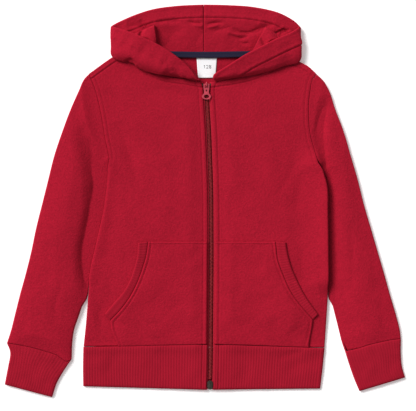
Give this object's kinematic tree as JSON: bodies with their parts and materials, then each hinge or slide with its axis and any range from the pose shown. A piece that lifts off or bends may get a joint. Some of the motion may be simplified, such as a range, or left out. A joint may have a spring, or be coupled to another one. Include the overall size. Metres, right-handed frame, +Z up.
{
  "type": "child's zip-up hooded sweatshirt, laid flat",
  "caption": "Child's red fleece hoodie laid flat on its back, front up, sleeves down: hood lying open, ribbed cuffs and waistband, split hand pocket and a full-length zip.",
  "frame": {"origin": "middle of the garment's outline, on the surface it lies on", "axes": "+X across the garment towards the sleeve seen at the right, +Y from hem to hood, +Z up from the surface it lies on; its front faces +Z"},
  "size_m": [0.601, 0.5889, 0.0183],
  "materials": {
    "fleece": "matt brushed sweatshirt fleece",
    "rib_knit": "matt rib knit",
    "navy_tape": "matt twill tape",
    "label_cloth": "smooth woven label",
    "zip_tape": "matt woven zip tape",
    "zip_metal": "dark antique metal",
    "painted_zip": "satin red paint"
  },
  "bodies": {
    "garment": {"back": "fleece", "front_left": "fleece", "front_right": "fleece", "sleeve_left": "fleece", "sleeve_right": "fleece", "pocket_left": "fleece", "pocket_right": "fleece", "hood_left": "fleece", "hood_right": "fleece", "hood_crown": "fleece", "hood_slack_left": "fleece", "hood_slack_right": "fleece", "cuff_left": "rib_knit", "cuff_right": "rib_knit", "hem_rib": "rib_knit", "pocket_rib_left": "rib_knit", "pocket_rib_right": "rib_knit", "neck_tape": "navy_tape", "neck_label": "label_cloth", "zip_tape_left": "zip_tape", "zip_tape_right": "zip_tape", "zip_chain": "zip_metal", "zip_top_stop_left": "zip_metal", "zip_top_stop_right": "zip_metal", "zip_box": "zip_metal", "zip_slider": "painted_zip"},
    "pull_tab": {"zip_pull": "painted_zip"}
  },
  "joints": [
    {"name": "pull_swing", "type": "hinge", "parent": "garment", "child": "pull_tab", "pos_m": [0.0026, 0.1744, 0.00775], "axis": [-1, 0, 0], "range_deg": [-2, 180]}
  ]
}
